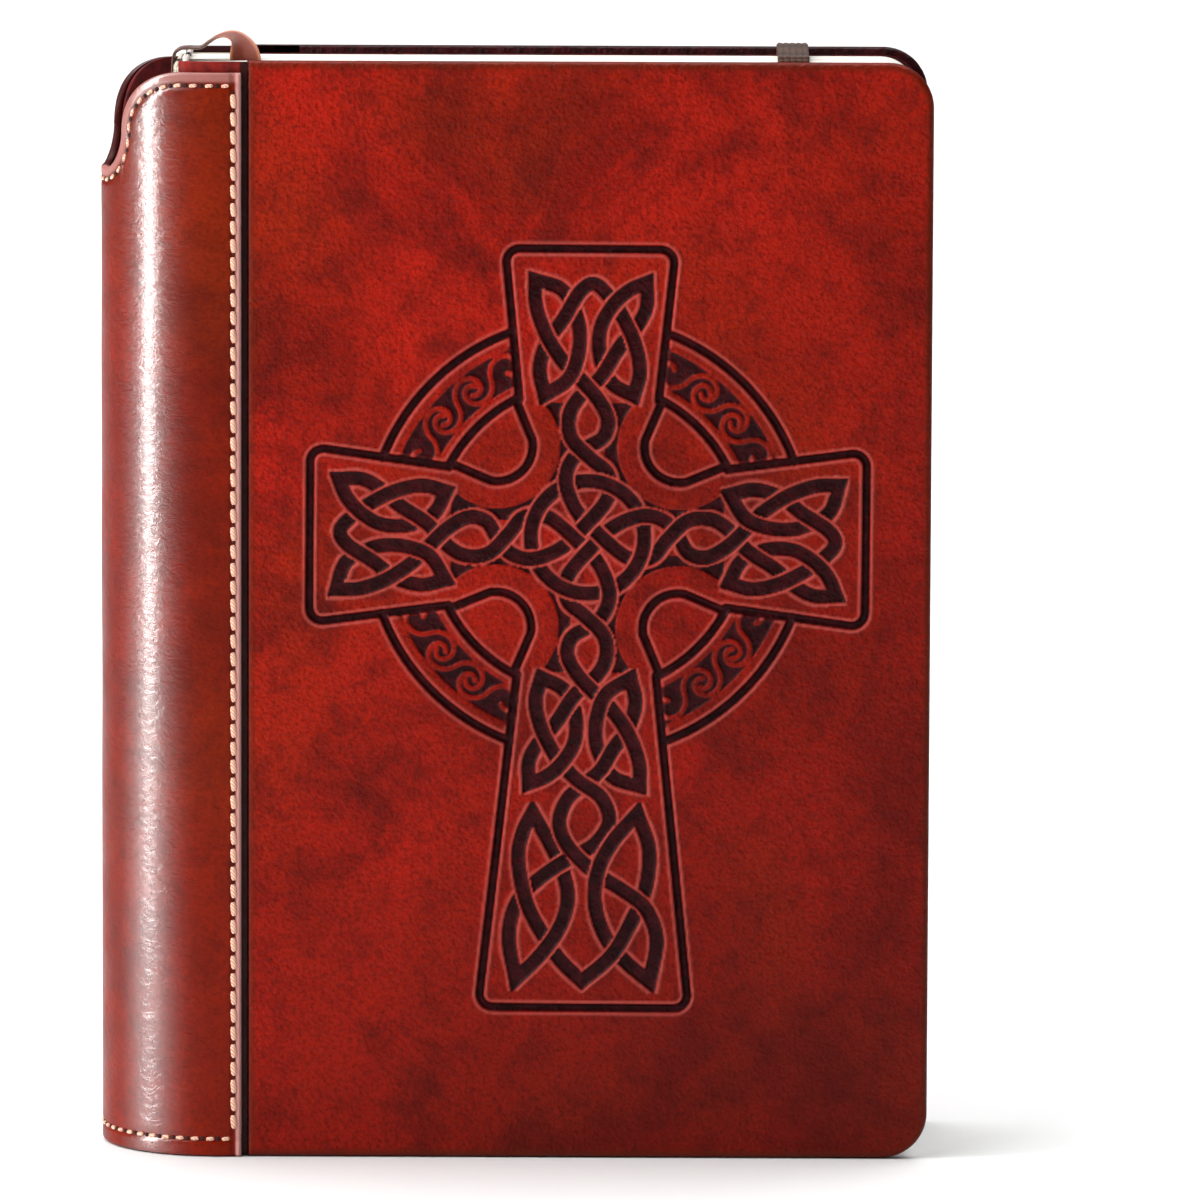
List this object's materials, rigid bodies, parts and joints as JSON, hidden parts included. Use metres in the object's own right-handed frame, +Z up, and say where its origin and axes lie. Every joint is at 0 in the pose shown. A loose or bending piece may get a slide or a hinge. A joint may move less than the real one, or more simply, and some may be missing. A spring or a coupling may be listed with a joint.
{
  "type": "leather-bound bible",
  "caption": "Leather-bound bible with hinged stiff covers, a rounded spine wrap with a pen channel, fanning leaves, a ribbon marker and an elastic page band.",
  "frame": {"origin": "middle of the closed book's footprint, on the surface it stands on by its tail", "axes": "+Z up towards the head; -X the rounded spine, +X the fore-edge; -Y the front cover"},
  "size_m": [0.1622, 0.0472, 0.218],
  "materials": {
    "spine_leather": "glossy smooth",
    "cover_leather": "mottled, embossed",
    "lining_leather": "matt",
    "binders_board": "raw",
    "paper": "uncoated",
    "binding_cloth": "woven",
    "thread": "waxed",
    "ribbon": "satin",
    "elastic": "woven"
  },
  "bodies": {
    "spine": {"spine_wrap": "spine_leather", "spine_lining": "lining_leather", "front_joint_leather": "cover_leather", "rear_joint_leather": "cover_leather", "front_edge_seam": "thread", "rear_edge_seam": "thread", "head_seam": "thread", "tail_seam": "thread", "pen_channel_stop": "lining_leather", "spine_mull": "binding_cloth", "bound_folds_front": "paper", "bound_folds_rear": "paper", "headband": "binding_cloth", "tailband": "binding_cloth", "rear_leaves_1": "paper", "rear_leaves_2": "paper", "rear_leaves_3": "paper", "rear_leaves_4": "paper", "rear_leaves_5": "paper", "rear_endpaper": "paper", "ribbon_marker": "ribbon", "elastic_band": "elastic"},
    "front_cover": {"front_cover_leather": "cover_leather", "front_cover_board": "binders_board", "front_cover_lining": "lining_leather"},
    "back_cover": {"back_cover_leather": "cover_leather", "back_cover_board": "binders_board", "back_cover_lining": "lining_leather"},
    "leaves_1": {"front_leaves_1": "paper", "front_endpaper": "paper"},
    "leaves_2": {"front_leaves_2": "paper"},
    "leaves_3": {"front_leaves_3": "paper"},
    "leaves_4": {"front_leaves_4": "paper"},
    "leaves_5": {"front_leaves_5": "paper"},
    "leaves_6": {"front_leaves_6": "paper"}
  },
  "joints": [
    {"name": "front_cover_hinge", "type": "hinge", "parent": "spine", "child": "front_cover", "pos_m": [-0.05203, -0.0233, 0.107], "axis": [0, 0, -1], "range_deg": [0, 175]},
    {"name": "back_cover_hinge", "type": "hinge", "parent": "spine", "child": "back_cover", "pos_m": [-0.05203, 0.0233, 0.107], "axis": [0, 0, 1], "range_deg": [0, 175]},
    {"name": "leaves_1_turn", "type": "hinge", "parent": "spine", "child": "leaves_1", "pos_m": [-0.0491, -0.01623, 0.107], "axis": [0, 0, -1], "range_deg": [0, 87.5]},
    {"name": "leaves_2_turn", "type": "hinge", "parent": "spine", "child": "leaves_2", "pos_m": [-0.0466, -0.01339, 0.107], "axis": [0, 0, -1], "range_deg": [0, 78]},
    {"name": "leaves_3_turn", "type": "hinge", "parent": "spine", "child": "leaves_3", "pos_m": [-0.0441, -0.01055, 0.107], "axis": [0, 0, -1], "range_deg": [0, 66]},
    {"name": "leaves_4_turn", "type": "hinge", "parent": "spine", "child": "leaves_4", "pos_m": [-0.0416, -0.0077, 0.107], "axis": [0, 0, -1], "range_deg": [0, 52]},
    {"name": "leaves_5_turn", "type": "hinge", "parent": "spine", "child": "leaves_5", "pos_m": [-0.0391, -0.00486, 0.107], "axis": [0, 0, -1], "range_deg": [0, 36]},
    {"name": "leaves_6_turn", "type": "hinge", "parent": "spine", "child": "leaves_6", "pos_m": [-0.0366, -0.00202, 0.107], "axis": [0, 0, -1], "range_deg": [0, 18]}
  ],
  "couplings": [
    {"joint": "leaves_1_turn", "follows": "front_cover_hinge", "ratio": 0.5},
    {"joint": "leaves_2_turn", "follows": "front_cover_hinge", "ratio": 0.44571},
    {"joint": "leaves_3_turn", "follows": "front_cover_hinge", "ratio": 0.37714},
    {"joint": "leaves_4_turn", "follows": "front_cover_hinge", "ratio": 0.29714},
    {"joint": "leaves_5_turn", "follows": "front_cover_hinge", "ratio": 0.20571},
    {"joint": "leaves_6_turn", "follows": "front_cover_hinge", "ratio": 0.10286}
  ]
}
